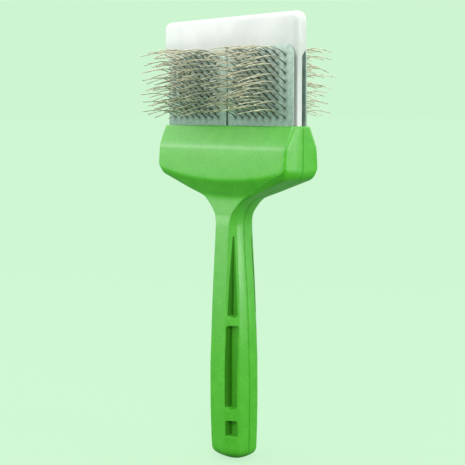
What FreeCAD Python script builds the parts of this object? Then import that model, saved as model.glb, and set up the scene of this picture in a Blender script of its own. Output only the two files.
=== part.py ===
"""Double-sided slicker brush with a flexible head, as a parametric FreeCAD document.

Frame, in millimetres: the origin is the middle of the flat end of the handle, +Z runs up the handle to the
head, the front pads face -Y, and X is across the head.

A green handle of two shells, joined on the plane Y = 0, holds the round root bead of a translucent blade,
the flex core. Four springy leaves stand in slots in that bead, two on the front and two on the rear. Each
carries a rubberised cloth pad, and each pad is pierced by rows of bent wire staples. The tops of the leaves
rest on the thick bulge along the top of the core.
"""
import FreeCAD, Part
import math
import os

import Sketcher
from FreeCAD import Placement, Rotation, Vector

# Every driving dimension: alias, value in millimetres (or degrees, or a count), and what it is.
DIMENSIONS = [
    ("overall_height", 210.4, "top of the flex core above the end of the handle"),
    ("head_half_width", 47.6, "half of the head across X"),
    ("head_top", 159.9, "height of the mouth of the head"),
    ("head_top_depth", 5.8, "half of the head's depth at the mouth"),
    ("ridge_height", 150.5, "height of the ridge across the head's face"),
    ("ridge_depth", 9.6, "half of the head's depth at the ridge"),
    ("belly_height", 140.5, "height of the head's deepest line"),
    ("belly_depth", 10.4, "half of the head's depth at that line"),
    ("head_foot_height", 112.0, "height where the head form starts, inside the neck"),
    ("head_foot_half_width", 7.4, "half width of the head form at its foot"),
    ("head_foot_depth", 3.9, "half depth of the head form at its foot, by the handle's side facet"),
    ("underside_outer", 136.8, "height of the sloping underside at the head's side"),
    ("underside_inner", 123.3, "height of the sloping underside at the neck"),
    ("underside_face", 126.2, "height where the lower face of the head reaches the neck"),
    ("underside_depth", 7.1, "half depth of the head form there"),
    ("head_corner_radius", 6.0, "radius of the head's lower corners"),
    ("neck_radius", 15.0, "radius between the underside and the neck"),
    ("facet_half_width", 5.0, "half width of the handle's flat front facet"),
    ("side_facet_share", 0.57, "half depth of the side facet as a share of the handle's half depth"),
    ("handle_cavity_half_width", 3.4, "half width of the hollow in the handle"),
    ("handle_cavity_half_depth", 4.2, "half depth of the hollow in the handle"),
    ("handle_cavity_bottom", 14.0, "bottom of the hollow in the handle"),
    ("handle_cavity_top", 104.0, "top of the hollow in the handle"),
    ("head_cavity_half_width", 28.0, "half width of the hollow in the head"),
    ("head_cavity_half_depth", 6.0, "half depth of the hollow in the head"),
    ("head_cavity_bottom", 133.5, "bottom of the hollow in the head"),
    ("head_cavity_top", 144.5, "top of the hollow in the head"),
    ("pivot_height", 154.2, "height of the axis of the core's root bead"),
    ("bead_radius", 5.6, "radius of the core's root bead"),
    ("bead_clearance", 0.08, "running clearance of the bead in its channel"),
    ("bead_half_length", 44.7, "half length of the bead"),
    ("mouth_half_length", 45.6, "half length of the mouth and of the bead's channel"),
    ("mouth_half_depth", 5.05, "half depth of the mouth"),
    ("web_half_width", 45.0, "half width of the core's web"),
    ("web_half_depth", 1.5, "half thickness of the core's web"),
    ("bulge_half_width", 48.4, "half width of the core's bulge"),
    ("bulge_shift", 1.9, "how far the bulge sits to the left of the middle"),
    ("bulge_half_depth", 3.4, "half thickness of the core's bulge"),
    ("bulge_foot", 189.4, "height where the web starts to swell into the bulge"),
    ("bulge_shoulder", 193.8, "height where the bulge reaches its full thickness"),
    ("bulge_corner_radius", 3.9, "radius of the bulge's upper corners"),
    ("bulge_edge_radius", 2.6, "radius of the bulge's long upper edges"),
    ("bulge_side_radius", 2.4, "radius of the bulge's upright edges"),
    ("leaf_back", 3.45, "distance of a leaf's back from the middle plane"),
    ("leaf_thickness", 0.35, "thickness of a leaf"),
    ("leaf_foot_bottom", 153.2, "bottom of a leaf's foot"),
    ("leaf_foot_height", 1.2, "height of a leaf's foot"),
    ("leaf_foot_back", 3.0, "distance of the foot's back from the middle plane"),
    ("leaf_foot_thickness", 1.2, "thickness of a leaf's foot"),
    ("leaf_slot_play", 0.25, "room on each side of a leaf in its slot"),
    ("foot_slot_play", 0.3, "room round a leaf's foot in its slot"),
    ("leaf_inset", 0.2, "how far a leaf's edge lies inside its pad's edge"),
    ("pad_inner", 0.35, "distance of a pad's inner edge from the middle"),
    ("pad_outer", 45.0, "distance of a pad's outer edge from the middle"),
    ("pad_bottom", 159.0, "height of a pad's bottom edge, inside the mouth"),
    ("pad_top", 195.9, "height of a pad's top edge"),
    ("pad_thickness", 0.6, "thickness of a pad"),
    ("pad_corner_radius", 5.0, "radius of a pad's outer upper corner"),
    ("wire_radius", 0.2, "radius of the staple wire"),
    ("pin_first", 6.2, "distance of the innermost pin of a long row from the middle"),
    ("pin_pitch", 4.8, "distance between pins along a row"),
    ("row_first", 163.5, "height of the lowest row"),
    ("row_pitch", 1.97, "distance between rows"),
    ("row_count", 16, "number of rows on a pad"),
    ("long_row_staples", 4, "two-pin staples in a long row"),
    ("short_row_staples", 3, "two-pin staples in a short row"),
    ("pin_root_run", 2.0, "length of a pin's straight root"),
    ("pin_root_tilt", 36.0, "angle of the root above level, degrees"),
    ("pin_bend_radius", 16.0, "radius of a pin's bend"),
    ("pin_end_run", 6.4, "length of a pin's straight end"),
    ("pin_end_drop", 12.0, "angle of the end below level, degrees"),
    ("peg_radius", 1.8, "radius of a locating peg"),
    ("peg_clearance", 0.05, "clearance round a peg in its socket"),
    ("peg_reach", 3.0, "how far a peg reaches into the front shell"),
    ("pocket_inner", 6.0, "distance of a grip pocket's inner wall from the middle"),
    ("pocket_outer", 10.5, "distance of a grip pocket's outer edge from the middle"),
    ("pocket_floor", 6.5, "distance of a grip pocket's floor from the parting plane"),
    ("square_pocket_bottom", 12.5, "bottom of the short pocket"),
    ("square_pocket_top", 20.3, "top of the short pocket"),
    ("long_pocket_bottom", 26.0, "bottom of the long pocket"),
    ("long_pocket_top", 65.8, "top of the long pocket"),
    ("pointed_pocket_bottom", 70.8, "bottom of the pointed pocket"),
    ("pointed_pocket_top", 107.5, "tip of the pointed pocket"),
    ("pointed_pocket_floor", 5.2, "distance of the pointed pocket's floor from the parting plane"),
    ("pointed_pocket_inner", 5.6, "distance of the pointed pocket's inner wall from the middle"),
    ("pointed_pocket_tip", 0.6, "width of the pointed pocket at its upper end"),
    ("pointed_pocket_outer", 8.9, "distance of the pointed pocket's lower outer corner from the middle"),
]

# Sections of the eight-sided handle, from the end up: name, height, half width and half depth.
HANDLE_SECTIONS = [
    ("end", 0.0, 8.6, 7.0),
    ("round", 1.2, 10.6, 8.9),
    ("heel", 4.5, 11.4, 9.7),
    ("grip", 32.0, 11.7, 10.5),
    ("swell", 60.0, 11.1, 9.9),
    ("waist", 82.0, 9.8, 8.6),
    ("throat", 99.0, 8.3, 7.6),
    ("neck", 113.0, 7.5, 7.0),
    ("collar", 126.0, 7.5, 7.0),
]

# Locating pegs between the shells: x and z of each.
PEGS = [(-36.0, 141.5), (36.0, 141.5), (0.0, 113.0), (0.0, 8.5)]

# Two leaves on the front and two on the rear: name, which side of the middle the leaf's outer edge is on
# when seen from its own face, and the turn about Z that puts it on that face.
LEAVES = [
    ("front_left", -1, 0.0),
    ("front_right", 1, 0.0),
    ("rear_right", -1, 180.0),
    ("rear_left", 1, 180.0),
]

# Beyond every surface of the brush, measured from the origin.
FAR = 300.0
SHEET = "Dimensions"

doc = FreeCAD.newDocument("slicker_brush")


# ---------------------------------------------------------------------------------------------------------
# Spreadsheet
# ---------------------------------------------------------------------------------------------------------
def make_sheet():
    """Put every driving dimension in the spreadsheet, one row each, with its alias and its note."""
    sheet = doc.addObject("Spreadsheet::Sheet", SHEET)
    rows = list(DIMENSIONS)
    for name, height, half_width, half_depth in HANDLE_SECTIONS:
        rows.append((name + "_height", height, "height of the handle's section"))
        rows.append((name + "_width", half_width, "half width of the handle's section"))
        rows.append((name + "_depth", half_depth, "half depth of the handle's section"))
    for row, (alias, value, note) in enumerate(rows, start=1):
        sheet.set("A%d" % row, note)
        sheet.set("B%d" % row, str(value))
        sheet.setAlias("B%d" % row, alias)
    doc.recompute()
    return sheet


sheet = make_sheet()


def size(alias):
    """Value of a dimension, for a shape that is made with Part's own functions."""
    return float(getattr(sheet, alias))


def cell(alias):
    """Name of a dimension, as an expression writes it."""
    return "%s.%s" % (SHEET, alias)


# ---------------------------------------------------------------------------------------------------------
# Sketches and solids
# ---------------------------------------------------------------------------------------------------------
def origin_plane(body, role):
    """The body's own origin plane with this role."""
    return next(item for item in body.Origin.OriginFeatures if item.Role == role)


def polygon_sketch(body, name, role, points, offset=None):
    """Draw a closed polygon on an origin plane, each corner bound to an expression across and one up.

    offset is the expression of the sketch's distance from the plane, along the plane's normal.
    """
    sketch = body.newObject("Sketcher::SketchObject", name)
    sketch.AttachmentSupport = [(origin_plane(body, role), "")]
    sketch.MapMode = "FlatFace"
    if offset:
        sketch.setExpression("AttachmentOffset.Base.z", offset)
    count = len(points)
    turn = 2 * math.pi / count
    corners = [Vector(10 * math.cos(turn * k), 10 * math.sin(turn * k), 0) for k in range(count)]
    for index in range(count):
        sketch.addGeometry(Part.LineSegment(corners[index], corners[(index + 1) % count]), False)
    for index in range(count):
        sketch.addConstraint(Sketcher.Constraint("Coincident", index, 2, (index + 1) % count, 1))
    for index, (across, up) in enumerate(points):
        bind_coordinate(sketch, "DistanceX", index, across)
        bind_coordinate(sketch, "DistanceY", index, up)
    return sketch


def bind_coordinate(sketch, kind, index, expression):
    """Hold one coordinate of the start of a line to an expression."""
    number = sketch.addConstraint(Sketcher.Constraint(kind, -1, 1, index, 1, 1.0))
    sketch.setExpression("Constraints[%d]" % number, expression)


def mirrored(points):
    """The closed outline whose right half is points, mirrored to the left."""
    return points + [("-(%s)" % across, up) for across, up in reversed(points)]


def padded_body(name, role, points, length, midplane=True, offset=None):
    """A body that pads one polygon, both ways from its plane or along the plane's normal."""
    body = doc.addObject("PartDesign::Body", name)
    sketch = polygon_sketch(body, name + "_sketch", role, points, offset)
    pad = body.newObject("PartDesign::Pad", name + "_pad")
    pad.Profile = sketch
    pad.Midplane = midplane
    pad.setExpression("Length", length)
    doc.recompute()
    return body


def round_edges(body, name, radius, chosen):
    """Fillet the edges of a body's last feature that chosen(edge) picks."""
    base = body.Tip
    names = ["Edge%d" % (k + 1) for k, edge in enumerate(base.Shape.Edges) if chosen(edge)]
    fillet = body.newObject("PartDesign::Fillet", name)
    fillet.Base = (base, names)
    fillet.setExpression("Radius", radius)
    doc.recompute()


def runs_along(edge, direction):
    """Whether a straight edge runs along a direction."""
    if edge.Curve.TypeId != "Part::GeomLine":
        return False
    return abs(abs(edge.Curve.Direction.dot(direction)) - 1) < 1e-6


def is_near(value, target):
    """Whether two lengths agree to a hundredth of a millimetre."""
    return abs(value - target) < 0.01


def box(name, bindings):
    """A box whose sizes and corner are bound to expressions."""
    item = doc.addObject("Part::Box", name)
    for path, expression in bindings.items():
        item.setExpression(path, expression)
    return item


def centred_box(name, half_x, half_y, low, high):
    """A box centred on the Z axis, between two heights."""
    return box(name, {
        "Length": "2 * (%s)" % half_x, "Width": "2 * (%s)" % half_y, "Height": "(%s) - (%s)" % (high, low),
        "Placement.Base.x": "-(%s)" % half_x, "Placement.Base.y": "-(%s)" % half_y,
        "Placement.Base.z": low,
    })


def cylinder_across(name, radius, half_length, height):
    """A cylinder along X, centred on the middle plane."""
    item = doc.addObject("Part::Cylinder", name)
    item.Placement = Placement(Vector(0, 0, 0), Rotation(Vector(0, 1, 0), 90))
    item.setExpression("Radius", radius)
    item.setExpression("Height", "2 * (%s)" % half_length)
    item.setExpression("Placement.Base.x", "-(%s)" % half_length)
    item.setExpression("Placement.Base.z", height)
    return item


def combine(kind, name, shapes):
    """A Part::MultiFuse or Part::MultiCommon of several objects."""
    item = doc.addObject(kind, name)
    item.Shapes = shapes
    return item


def cut(name, base, tool):
    """A base less a tool."""
    item = doc.addObject("Part::Cut", name)
    item.Base = base
    item.Tool = tool
    return item


# ---------------------------------------------------------------------------------------------------------
# Shells
# ---------------------------------------------------------------------------------------------------------
def make_handle_form():
    """The eight-sided handle, lofted through its sections."""
    body = doc.addObject("PartDesign::Body", "handle_form")
    sketches = []
    for name, _, _, _ in HANDLE_SECTIONS:
        side = cell(name + "_width")
        front = cell(name + "_depth")
        facet = cell("facet_half_width")
        flat = "%s * %s" % (cell("side_facet_share"), front)
        right = [(side, "-(%s)" % flat), (side, flat), (facet, front)]
        left = [("-(%s)" % facet, front), ("-(%s)" % side, flat), ("-(%s)" % side, "-(%s)" % flat)]
        below = [("-(%s)" % facet, "-(%s)" % front), (facet, "-(%s)" % front)]
        sketches.append(polygon_sketch(body, "handle_%s_sketch" % name, "XY_Plane",
                                       right + left + below, cell(name + "_height")))
    doc.recompute()
    loft = body.newObject("PartDesign::AdditiveLoft", "handle_loft")
    loft.Profile = sketches[0]
    loft.Sections = sketches[1:]
    loft.Ruled = True
    doc.recompute()
    return body


def make_head_form():
    """The T-shaped head: its outline across X, cut to its profile from the side."""
    half_width = cell("head_half_width")
    foot = cell("head_foot_half_width")
    outline = padded_body("head_outline", "XZ_Plane", mirrored([
        (foot, cell("head_foot_height")), (foot, cell("underside_inner")),
        (half_width, cell("underside_outer")), (half_width, cell("head_top")),
    ]), "4 * %s" % cell("belly_depth"))
    across = Vector(0, 1, 0)
    round_edges(outline, "head_corners", cell("head_corner_radius"), lambda edge: runs_along(edge, across)
                and is_near(edge.Vertexes[0].Z, size("underside_outer")))
    round_edges(outline, "neck_corners", cell("neck_radius"), lambda edge: runs_along(edge, across)
                and is_near(edge.Vertexes[0].Z, size("underside_inner")))
    profile = padded_body("head_profile", "YZ_Plane", mirrored([
        (cell("head_foot_depth"), cell("head_foot_height")),
        (cell("underside_depth"), cell("underside_face")),
        (cell("belly_depth"), cell("belly_height")), (cell("ridge_depth"), cell("ridge_height")),
        (cell("head_top_depth"), cell("head_top")),
    ]), "4 * %s" % half_width)
    return combine("Part::MultiCommon", "head_form", [outline, profile])


def make_pocket_cutters():
    """Cutters for the grip pockets: three in each of the handle's four slanting facets."""
    inner, outer = cell("pocket_inner"), cell("pocket_outer")
    outlines = {
        "square": (cell("pocket_floor"), [
            (inner, cell("square_pocket_bottom")), (outer, cell("square_pocket_bottom")),
            (outer, cell("square_pocket_top")), (inner, cell("square_pocket_top"))]),
        "long": (cell("pocket_floor"), [
            (inner, cell("long_pocket_bottom")), (outer, cell("long_pocket_bottom")),
            (outer, cell("long_pocket_top")), (inner, cell("long_pocket_top"))]),
        "pointed": (cell("pointed_pocket_floor"), [
            (cell("pointed_pocket_inner"), cell("pointed_pocket_bottom")),
            (cell("pointed_pocket_outer"), cell("pointed_pocket_bottom")),
            ("%s + %s" % (cell("pointed_pocket_inner"), cell("pointed_pocket_tip")),
             cell("pointed_pocket_top"))]),
    }
    cutters = []
    for face, turn in (("front", 0.0), ("rear", 180.0)):
        for side in (-1, 1):
            for kind, (floor, corners) in outlines.items():
                name = "%s_%s_pocket_%s" % (face, kind, "left" if side < 0 else "right")
                points = [("%d * (%s)" % (side, across), up) for across, up in corners]
                cutter = padded_body(name, "XZ_Plane", points, cell("belly_depth"), False, floor)
                cutter.Placement = Placement(Vector(0, 0, 0), Rotation(Vector(0, 0, 1), turn))
                cutters.append(cutter)
    return cutters


def make_pegs(name, radius, reach):
    """Cylinders along Y at the pegs' places, from inside the rear shell towards the front."""
    pegs = []
    for index, (x, z) in enumerate(PEGS):
        peg = doc.addObject("Part::Cylinder", "%s_%d" % (name, index + 1))
        peg.Placement = Placement(Vector(x, 0, z), Rotation(Vector(1, 0, 0), 90))
        peg.setExpression("Radius", radius)
        peg.setExpression("Height", "2 * (%s)" % reach)
        peg.setExpression("Placement.Base.y", reach)
        pegs.append(peg)
    return pegs


def make_shells():
    """The front and rear shells: the outer form, hollowed out and split on the plane Y = 0."""
    outer = combine("Part::MultiFuse", "outer_form", [make_handle_form(), make_head_form()])
    top = "%s + %s" % (cell("head_top"), cell("bead_radius"))
    hollows = combine("Part::MultiFuse", "hollows", [
        cylinder_across("bead_channel", cell("bead_radius") + " + " + cell("bead_clearance"),
                        cell("mouth_half_length"), cell("pivot_height")),
        centred_box("mouth", cell("mouth_half_length"), cell("mouth_half_depth"), cell("pivot_height"), top),
        centred_box("head_cavity", cell("head_cavity_half_width"), cell("head_cavity_half_depth"),
                    cell("head_cavity_bottom"), cell("head_cavity_top")),
        centred_box("handle_cavity", cell("handle_cavity_half_width"), cell("handle_cavity_half_depth"),
                    cell("handle_cavity_bottom"), cell("handle_cavity_top")),
    ] + make_pocket_cutters())
    hollowed = cut("hollowed_form", outer, hollows)
    halves = {}
    for face, low in (("front", -FAR), ("rear", 0.0)):
        space = doc.addObject("Part::Box", face + "_half_space")
        space.Length = 2 * FAR
        space.Width = FAR
        space.Height = 2 * FAR
        space.Placement = Placement(Vector(-FAR, low, -FAR), Rotation())
        halves[face] = combine("Part::MultiCommon", face + "_half", [hollowed, space])
    sockets = combine("Part::MultiFuse", "sockets", make_pegs(
        "socket", cell("peg_radius") + " + " + cell("peg_clearance"),
        cell("peg_reach") + " + " + cell("peg_clearance")))
    front = cut("front_shell", halves["front"], sockets)
    rear = combine("Part::MultiFuse", "rear_shell",
                   [halves["rear"]] + make_pegs("peg", cell("peg_radius"), cell("peg_reach")))
    doc.recompute()
    return [front, rear]


# ---------------------------------------------------------------------------------------------------------
# Core
# ---------------------------------------------------------------------------------------------------------
def make_bulge():
    """The thick top of the core: an outline across X, cut to a tapered and rounded profile."""
    half_width, half_depth = cell("bulge_half_width"), cell("bulge_half_depth")
    taper = "(%s - %s)" % (cell("bulge_half_depth"), cell("web_half_depth"))
    outline = padded_body("bulge_outline", "XZ_Plane", mirrored([
        ("%s - %s" % (half_width, taper), cell("bulge_foot")), (half_width, cell("bulge_shoulder")),
        (half_width, cell("overall_height")),
    ]), "2 * %s" % half_depth)
    across = Vector(0, 1, 0)
    along = Vector(1, 0, 0)
    top = size("overall_height")
    round_edges(outline, "bulge_corners", cell("bulge_corner_radius"), lambda edge: runs_along(edge, across)
                and is_near(edge.Vertexes[0].Z, top))
    profile = padded_body("bulge_profile", "YZ_Plane", mirrored([
        (cell("web_half_depth"), cell("bulge_foot")), (half_depth, cell("bulge_shoulder")),
        (half_depth, cell("overall_height")),
    ]), "4 * %s" % half_width)
    round_edges(profile, "bulge_edges", cell("bulge_edge_radius"), lambda edge: runs_along(edge, along)
                and is_near(edge.Vertexes[0].Z, top))
    plan = padded_body("bulge_plan", "XY_Plane", [
        (half_width, "-(%s)" % half_depth), (half_width, half_depth),
        ("-(%s)" % half_width, half_depth), ("-(%s)" % half_width, "-(%s)" % half_depth),
    ], "4 * %s" % cell("overall_height"))
    upright = Vector(0, 0, 1)
    round_edges(plan, "bulge_sides", cell("bulge_side_radius"), lambda edge: runs_along(edge, upright))
    for item in (outline, profile, plan):
        item.setExpression("Placement.Base.x", "-(%s)" % cell("bulge_shift"))
    return combine("Part::MultiCommon", "bulge", [outline, profile, plan])


def make_leaf_slots():
    """The slots in the root bead that the leaves and their feet stand in, on both faces."""
    play, room = cell("leaf_slot_play"), cell("foot_slot_play")
    slots = []
    for face, sign in (("front", -1), ("rear", 1)):
        neck = box(face + "_slot_neck", {
            "Length": "2 * " + cell("mouth_half_length"),
            "Width": "%s + 2 * %s" % (cell("leaf_thickness"), play),
            "Height": cell("head_top") + " - " + cell("leaf_foot_bottom"),
        })
        foot = box(face + "_slot_foot", {
            "Length": "2 * " + cell("mouth_half_length"),
            "Width": "%s + 2 * %s" % (cell("leaf_foot_thickness"), room),
            "Height": "%s + 2 * %s" % (cell("leaf_foot_height"), room),
        })
        neck_near = size("leaf_back") - size("leaf_slot_play")
        neck_wide = size("leaf_thickness") + 2 * size("leaf_slot_play")
        foot_near = size("leaf_foot_back") - size("foot_slot_play")
        foot_wide = size("leaf_foot_thickness") + 2 * size("foot_slot_play")
        neck.Placement.Base.y = neck_near if sign > 0 else -(neck_near + neck_wide)
        foot.Placement.Base.y = foot_near if sign > 0 else -(foot_near + foot_wide)
        foot_low = "%s - %s" % (cell("leaf_foot_bottom"), room)
        for item, low in ((neck, cell("leaf_foot_bottom")), (foot, foot_low)):
            item.setExpression("Placement.Base.x", "-" + cell("mouth_half_length"))
            item.setExpression("Placement.Base.z", low)
        slots += [neck, foot]
    return slots


def make_core():
    """The flex core: a round root bead, a thin web and the bulge along its top, as one moulding."""
    solid = combine("Part::MultiFuse", "core_solid", [
        cylinder_across("root_bead", cell("bead_radius"), cell("bead_half_length"), cell("pivot_height")),
        centred_box("web", cell("web_half_width"), cell("web_half_depth"), cell("pivot_height"),
                    cell("bulge_shoulder")),
        make_bulge(),
    ])
    slots = combine("Part::MultiFuse", "leaf_slots", make_leaf_slots())
    core = cut("flex_core", solid, slots)
    doc.recompute()
    return [core]


# ---------------------------------------------------------------------------------------------------------
# Leaves, pads and pins
# ---------------------------------------------------------------------------------------------------------
def make_sheet_body(name, side, inset, low, back, thickness):
    """A flat sheet in front of the middle plane, with its upper outer corner rounded."""
    inner = "%s + %s" % (cell("pad_inner"), inset)
    outer = "%s - %s" % (cell("pad_outer"), inset)
    top = "%s - %s" % (cell("pad_top"), inset)
    corners = [(inner, low), (outer, low), (outer, top), (inner, top)]
    points = [("%d * (%s)" % (side, across), up) for across, up in corners]
    body = padded_body(name, "XZ_Plane", points, thickness, False, back)
    outer_x = max(abs(vertex.X) for vertex in body.Shape.Vertexes)
    top_z = body.Shape.BoundBox.ZMax
    across = Vector(0, 1, 0)
    round_edges(body, name + "_corner", cell("pad_corner_radius"), lambda edge: runs_along(edge, across)
                and is_near(abs(edge.Vertexes[0].X), outer_x) and is_near(edge.Vertexes[0].Z, top_z))
    return body


def make_leaf(name, side):
    """A springy leaf with a thicker foot along its bottom edge."""
    inset = cell("leaf_inset")
    leaf = make_sheet_body(name, side, inset, cell("leaf_foot_bottom"), cell("leaf_back"),
                           cell("leaf_thickness"))
    inner = "%s + %s" % (cell("pad_inner"), inset)
    outer = "%s - %s" % (cell("bead_half_length"), inset)
    low = cell("leaf_foot_bottom")
    high = "%s + %s" % (low, cell("leaf_foot_height"))
    corners = [(inner, low), (outer, low), (outer, high), (inner, high)]
    points = [("%d * (%s)" % (side, across), up) for across, up in corners]
    sketch = polygon_sketch(leaf, name + "_foot_sketch", "XZ_Plane", points, cell("leaf_foot_back"))
    foot = leaf.newObject("PartDesign::Pad", name + "_foot")
    foot.Profile = sketch
    foot.setExpression("Length", cell("leaf_foot_thickness"))
    return leaf


def pin_path(x, z):
    """A pin's line from the middle of its pad: a rising root, a bend and a falling end."""
    radius = size("pin_bend_radius")
    rise = math.radians(size("pin_root_tilt"))
    drop = math.radians(size("pin_end_drop"))
    start = Vector(x, -(size("leaf_back") + size("leaf_thickness") + size("pad_thickness") / 2), z)
    heading = Vector(0, -math.cos(rise), math.sin(rise))
    bend_start = start + heading * size("pin_root_run")
    centre = bend_start + Vector(0, -math.sin(rise), -math.cos(rise)) * radius
    bend_middle = centre + Vector(0, 0, radius)
    bend_end = centre + Vector(0, -math.sin(drop), math.cos(drop)) * radius
    tip = bend_end + Vector(0, -math.cos(drop), -math.sin(drop)) * size("pin_end_run")
    return [start, bend_start, bend_middle, bend_end, tip]


def make_staple(x, z):
    """One staple: two bent pins and the crown that joins them inside the pad."""
    left = pin_path(x, z)
    right = pin_path(x + size("pin_pitch"), z)
    edges = [
        Part.LineSegment(left[4], left[3]).toShape(),
        Part.Arc(left[3], left[2], left[1]).toShape(),
        Part.LineSegment(left[1], left[0]).toShape(),
        Part.LineSegment(left[0], right[0]).toShape(),
        Part.LineSegment(right[0], right[1]).toShape(),
        Part.Arc(right[1], right[2], right[3]).toShape(),
        Part.LineSegment(right[3], right[4]).toShape(),
    ]
    section = Part.Wire(Part.makeCircle(size("wire_radius"), left[4], left[4] - left[3]))
    right_angled_corners = 1
    return Part.Wire(edges).makePipeShell([section], True, False, right_angled_corners)


def staple_places(side):
    """The x of each staple's lower pin and its height, for every row of one pad."""
    places = []
    pitch = size("pin_pitch")
    for row in range(int(size("row_count"))):
        staggered = row % 2
        count = int(size("short_row_staples" if staggered else "long_row_staples"))
        first = size("pin_first") + staggered * pitch / 2
        for index in range(count):
            near = first + 2 * index * pitch
            low_x = near if side > 0 else -(near + pitch)
            places.append((low_x, size("row_first") + row * size("row_pitch")))
    return places


def make_pins(name, side):
    """All the staples of one pad, as separate solids in one shape."""
    pattern = make_staple(0.0, 0.0)
    solids = []
    for x, z in staple_places(side):
        staple = pattern.copy()
        staple.translate(Vector(x, 0, z))
        solids.append(staple)
    pins = doc.addObject("Part::Feature", name)
    pins.Shape = Part.makeCompound(solids)
    return pins


def make_pin_pads():
    """The four leaves, each with its pad and its pins."""
    items = []
    pad_back = "%s + %s" % (cell("leaf_back"), cell("leaf_thickness"))
    for name, side, turn in LEAVES:
        group = [
            make_leaf(name + "_leaf", side),
            make_sheet_body(name + "_pad", side, "0", cell("pad_bottom"), pad_back, cell("pad_thickness")),
            make_pins(name + "_pins", side),
        ]
        for item in group:
            item.Placement = Placement(Vector(0, 0, 0), Rotation(Vector(0, 0, 1), turn))
        items += group
    doc.recompute()
    return items


# ---------------------------------------------------------------------------------------------------------
# Build, check and export
# ---------------------------------------------------------------------------------------------------------
def check_document():
    """Stop if any object of the document failed."""
    for item in doc.Objects:
        if "Invalid" in item.State or "Error" in item.State:
            raise RuntimeError("%s failed: %s" % (item.Name, item.State))


def export(item):
    """Check a sub-part's shape and write it under its own label."""
    shape = item.Shape
    if shape.isNull() or not shape.isValid() or not shape.Solids:
        raise RuntimeError("%s has no valid solid" % item.Label)
    print("%-18s %3d solids %10.1f mm3" % (item.Label, len(shape.Solids), shape.Volume))
    shape.exportStep(os.path.join("parts", item.Label + ".step"))


sub_parts = make_shells() + make_core() + make_pin_pads()
for sub_part in sub_parts:
    sub_part.Label = sub_part.Name
doc.recompute()
check_document()
os.makedirs("parts", exist_ok=True)
for sub_part in sub_parts:
    export(sub_part)
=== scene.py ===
"""Looks of a double-sided slicker brush with a flexible head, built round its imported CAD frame.

Everything is in metres in the frame's axes: +Z up the handle to the head, the front pads face -Y, and X is
across the head. Sizes inside the classes are in millimetres, as on a maker's drawing, and MM turns them into
metres.
"""
import logging
import math
import random
from collections.abc import Callable, Iterator, Sequence
from contextlib import contextmanager
from dataclasses import dataclass
from enum import Enum

import bmesh
import bpy
from mathutils import Matrix, Vector


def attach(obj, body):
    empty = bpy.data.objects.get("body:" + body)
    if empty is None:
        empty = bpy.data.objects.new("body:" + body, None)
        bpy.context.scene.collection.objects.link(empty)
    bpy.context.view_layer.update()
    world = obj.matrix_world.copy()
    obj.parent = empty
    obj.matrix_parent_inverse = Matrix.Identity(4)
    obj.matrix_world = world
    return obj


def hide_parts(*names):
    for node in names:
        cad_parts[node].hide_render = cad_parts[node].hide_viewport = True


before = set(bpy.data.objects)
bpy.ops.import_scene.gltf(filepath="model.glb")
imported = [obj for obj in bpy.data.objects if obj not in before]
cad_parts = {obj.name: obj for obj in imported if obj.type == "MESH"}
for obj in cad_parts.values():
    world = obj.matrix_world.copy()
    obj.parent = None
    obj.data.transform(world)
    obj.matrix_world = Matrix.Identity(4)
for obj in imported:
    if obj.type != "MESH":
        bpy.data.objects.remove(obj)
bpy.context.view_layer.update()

MM = 0.001
LOG = logging.getLogger("slicker_brush")
Point = tuple[float, float, float]


class Face(Enum):
    """The two faces of the brush, each with the sign of its outward Y."""

    FRONT = -1
    REAR = 1


class Corner(Enum):
    """The four pin pads, each with its face and the side of X that its outer edge is on."""

    FRONT_LEFT = ("front_left", Face.FRONT, -1)
    FRONT_RIGHT = ("front_right", Face.FRONT, 1)
    REAR_LEFT = ("rear_left", Face.REAR, -1)
    REAR_RIGHT = ("rear_right", Face.REAR, 1)

    @property
    def body(self) -> str:
        """Name of the CAD body that the pad rides on."""
        return self.value[0]

    @property
    def face(self) -> Face:
        """The face that the pad is on."""
        return self.value[1]

    @property
    def side(self) -> int:
        """The side of X that the pad's outer edge is on."""
        return self.value[2]


class Element(Enum):
    """What a selection is made of, with the modeller's word for it."""

    CORNER = "VERT"
    EDGE = "EDGE"


class Join(Enum):
    """How one solid is joined with another, with the modeller's word for it."""

    ADD = "UNION"
    CUT = "DIFFERENCE"


# ---------------------------------------------------------------------------------------------------------
# Small helpers
# ---------------------------------------------------------------------------------------------------------
def linear(hex_colour: str) -> tuple[float, float, float, float]:
    """Turn an sRGB hex colour into the linear colour that a shader takes.

    Args:
        hex_colour: Six hex digits, such as "5fb848".

    Returns:
        The linear red, green and blue, and an alpha of 1.
    """
    channels = [int(hex_colour[k:k + 2], 16) / 255 for k in (0, 2, 4)]
    red, green, blue = (c / 12.92 if c <= 0.04045 else ((c + 0.055) / 1.055) ** 2.4 for c in channels)
    return (red, green, blue, 1.0)


def soft_min(a: float, b: float, blend: float) -> float:
    """The lower of two heights, rounded where they cross over a distance of about blend."""
    return (a + b - math.sqrt((a - b) ** 2 + blend ** 2)) / 2


def soft_max(a: float, b: float, blend: float) -> float:
    """The higher of two heights, rounded where they cross."""
    return -soft_min(-a, -b, blend)


def straight_between(knots: Sequence[tuple[float, float]], at: float) -> float:
    """Read straight lines through knots.

    Args:
        knots: Rising positions and their values.
        at: The position to read.

    Returns:
        The value there.
    """
    for (x0, y0), (x1, y1) in zip(knots, knots[1:]):
        if at <= x1:
            return y0 + (y1 - y0) * max(0.0, at - x0) / (x1 - x0)
    return knots[-1][1]


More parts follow.
